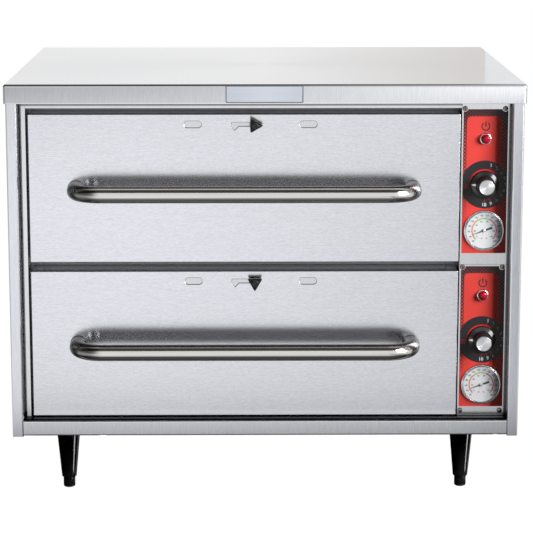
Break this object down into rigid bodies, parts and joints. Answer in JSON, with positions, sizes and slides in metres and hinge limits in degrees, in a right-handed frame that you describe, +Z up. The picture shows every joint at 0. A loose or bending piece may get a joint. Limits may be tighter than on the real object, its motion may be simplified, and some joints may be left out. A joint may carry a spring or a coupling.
{
  "type": "warming drawer",
  "caption": "Free-standing stainless steel drawer warmer on short black legs, with pull-out heated food drawers and a red control panel with thermostat knobs and dial thermometers.",
  "frame": {"origin": "on the floor, under the middle of the bounding box", "axes": "+Z up, +X to the right seen from the front, the drawers open towards -Y"},
  "size_m": [0.749, 0.633, 0.621],
  "materials": {
    "aluminium_cap": "spun brushed",
    "badge_metal": "satin, bare",
    "black_moulding": "moulded, satin",
    "black_plastic": "moulded, glossy",
    "bright_trim": "bright plated",
    "brushed_stainless": "brushed",
    "copper_line": "drawn",
    "dial_white": "white enamel",
    "element_sheath": "heat darkened",
    "liner_steel": "2B mill finish",
    "mineral_wool": "fibrous",
    "needle_black": "black enamel",
    "nylon": "natural nylon",
    "phenolic": "moulded",
    "polished_stainless": "polished",
    "red_lens": "clear red",
    "red_overlay": "printed film",
    "window_glass": "clear",
    "zinc_steel": "zinc plated"
  },
  "bodies": {
    "cabinet": {"top_panel": "brushed_stainless", "left_side_panel": "brushed_stainless", "right_side_panel": "brushed_stainless", "back_panel": "brushed_stainless", "base_pan": "brushed_stainless", "face_frame": "brushed_stainless", "cavity_side_walls": "liner_steel", "cavity_back_wall": "liner_steel", "cavity_decks": "liner_steel", "insulation": "mineral_wool", "sensor_lines": "copper_line", "drawer_tracks": "zinc_steel", "heating_elements": "element_sheath", "control_plates": "brushed_stainless", "control_overlays": "red_overlay", "lamp_bezels": "bright_trim", "lamp_lenses": "red_lens", "thermostats": "black_moulding", "gauge_cases": "bright_trim", "gauge_dials": "dial_white", "gauge_windows": "window_glass", "screws": "bright_trim", "legs": "black_plastic", "badge_plate": "badge_metal", "cord_gland": "black_moulding", "terminal_block": "phenolic"},
    "upper_drawer": {"upper_drawer_front": "brushed_stainless", "upper_drawer_inner_panel": "liner_steel", "upper_drawer_insulation": "mineral_wool", "upper_handle": "polished_stainless", "upper_handle_bolts": "zinc_steel", "upper_drawer_frame": "zinc_steel", "upper_food_pan": "liner_steel"},
    "upper_front_roller_pair": {"upper_front_rollers": "nylon"},
    "upper_rear_roller_pair": {"upper_rear_rollers": "nylon"},
    "upper_vent": {"upper_vent_slide": "brushed_stainless"},
    "upper_vent_clamp": {"upper_vent_knob": "black_moulding"},
    "upper_thermostat_knob": {"upper_knob": "black_plastic", "upper_knob_cap": "aluminium_cap", "upper_knob_shaft": "zinc_steel"},
    "upper_needle": {"upper_gauge_needle": "needle_black"},
    "lower_drawer": {"lower_drawer_front": "brushed_stainless", "lower_drawer_inner_panel": "liner_steel", "lower_drawer_insulation": "mineral_wool", "lower_handle": "polished_stainless", "lower_handle_bolts": "zinc_steel", "lower_drawer_frame": "zinc_steel", "lower_food_pan": "liner_steel"},
    "lower_front_roller_pair": {"lower_front_rollers": "nylon"},
    "lower_rear_roller_pair": {"lower_rear_rollers": "nylon"},
    "lower_vent": {"lower_vent_slide": "brushed_stainless"},
    "lower_vent_clamp": {"lower_vent_knob": "black_moulding"},
    "lower_thermostat_knob": {"lower_knob": "black_plastic", "lower_knob_cap": "aluminium_cap", "lower_knob_shaft": "zinc_steel"},
    "lower_needle": {"lower_gauge_needle": "needle_black"},
    "front_left_levelling_foot": {"front_left_foot": "black_plastic"},
    "front_right_levelling_foot": {"front_right_foot": "black_plastic"},
    "back_left_levelling_foot": {"back_left_foot": "black_plastic"},
    "back_right_levelling_foot": {"back_right_foot": "black_plastic"}
  },
  "joints": [
    {"name": "upper_drawer_slide", "type": "slide", "parent": "cabinet", "child": "upper_drawer", "axis": [0, -1, 0], "range_m": [0, 0.39]},
    {"name": "upper_front_rollers_turn", "type": "hinge", "parent": "cabinet", "child": "upper_front_roller_pair", "pos_m": [-0.03, -0.18, 0.4632], "axis": [1, 0, 0], "range_deg": [0, 1250]},
    {"name": "upper_rear_rollers_turn", "type": "hinge", "parent": "upper_drawer", "child": "upper_rear_roller_pair", "pos_m": [-0.03, 0.245, 0.4628], "axis": [1, 0, 0], "range_deg": [0, 1250]},
    {"name": "upper_vent_shift", "type": "slide", "parent": "upper_drawer", "child": "upper_vent", "axis": [-1, 0, 0], "range_m": [0, 0.025]},
    {"name": "upper_vent_knob_turn", "type": "hinge", "parent": "upper_vent", "child": "upper_vent_clamp", "pos_m": [-0.015, -0.2495, 0.5604], "axis": [0, -1, 0], "range_deg": [0, 270]},
    {"name": "upper_knob_turn", "type": "hinge", "parent": "cabinet", "child": "upper_thermostat_knob", "pos_m": [0.3188, -0.2495, 0.472], "axis": [0, 1, 0], "range_deg": [0, 270]},
    {"name": "upper_needle_sweep", "type": "hinge", "parent": "cabinet", "child": "upper_needle", "pos_m": [0.3188, -0.255, 0.405], "axis": [0, 1, 0], "range_deg": [-25, 245]},
    {"name": "lower_drawer_slide", "type": "slide", "parent": "cabinet", "child": "lower_drawer", "axis": [0, -1, 0], "range_m": [0, 0.39]},
    {"name": "lower_front_rollers_turn", "type": "hinge", "parent": "cabinet", "child": "lower_front_roller_pair", "pos_m": [-0.03, -0.18, 0.2322], "axis": [1, 0, 0], "range_deg": [0, 1250]},
    {"name": "lower_rear_rollers_turn", "type": "hinge", "parent": "lower_drawer", "child": "lower_rear_roller_pair", "pos_m": [-0.03, 0.245, 0.2318], "axis": [1, 0, 0], "range_deg": [0, 1250]},
    {"name": "lower_vent_shift", "type": "slide", "parent": "lower_drawer", "child": "lower_vent", "axis": [-1, 0, 0], "range_m": [0, 0.025]},
    {"name": "lower_vent_knob_turn", "type": "hinge", "parent": "lower_vent", "child": "lower_vent_clamp", "pos_m": [-0.015, -0.2495, 0.3294], "axis": [0, -1, 0], "range_deg": [0, 270]},
    {"name": "lower_knob_turn", "type": "hinge", "parent": "cabinet", "child": "lower_thermostat_knob", "pos_m": [0.3188, -0.2495, 0.241], "axis": [0, 1, 0], "range_deg": [0, 270]},
    {"name": "lower_needle_sweep", "type": "hinge", "parent": "cabinet", "child": "lower_needle", "pos_m": [0.3188, -0.255, 0.174], "axis": [0, 1, 0], "range_deg": [-25, 245]},
    {"name": "front_left_foot_adjust", "type": "slide", "parent": "cabinet", "child": "front_left_levelling_foot", "axis": [0, 0, 1], "range_m": [-0.019, 0]},
    {"name": "front_right_foot_adjust", "type": "slide", "parent": "cabinet", "child": "front_right_levelling_foot", "axis": [0, 0, 1], "range_m": [-0.019, 0]},
    {"name": "back_left_foot_adjust", "type": "slide", "parent": "cabinet", "child": "back_left_levelling_foot", "axis": [0, 0, 1], "range_m": [-0.019, 0]},
    {"name": "back_right_foot_adjust", "type": "slide", "parent": "cabinet", "child": "back_right_levelling_foot", "axis": [0, 0, 1], "range_m": [-0.019, 0]}
  ],
  "couplings": [
    {"joint": "upper_front_rollers_turn", "follows": "upper_drawer_slide", "rad_per_m": 55.556},
    {"joint": "upper_rear_rollers_turn", "follows": "upper_drawer_slide", "rad_per_m": 55.556},
    {"joint": "lower_front_rollers_turn", "follows": "lower_drawer_slide", "rad_per_m": 55.556},
    {"joint": "lower_rear_rollers_turn", "follows": "lower_drawer_slide", "rad_per_m": 55.556}
  ]
}
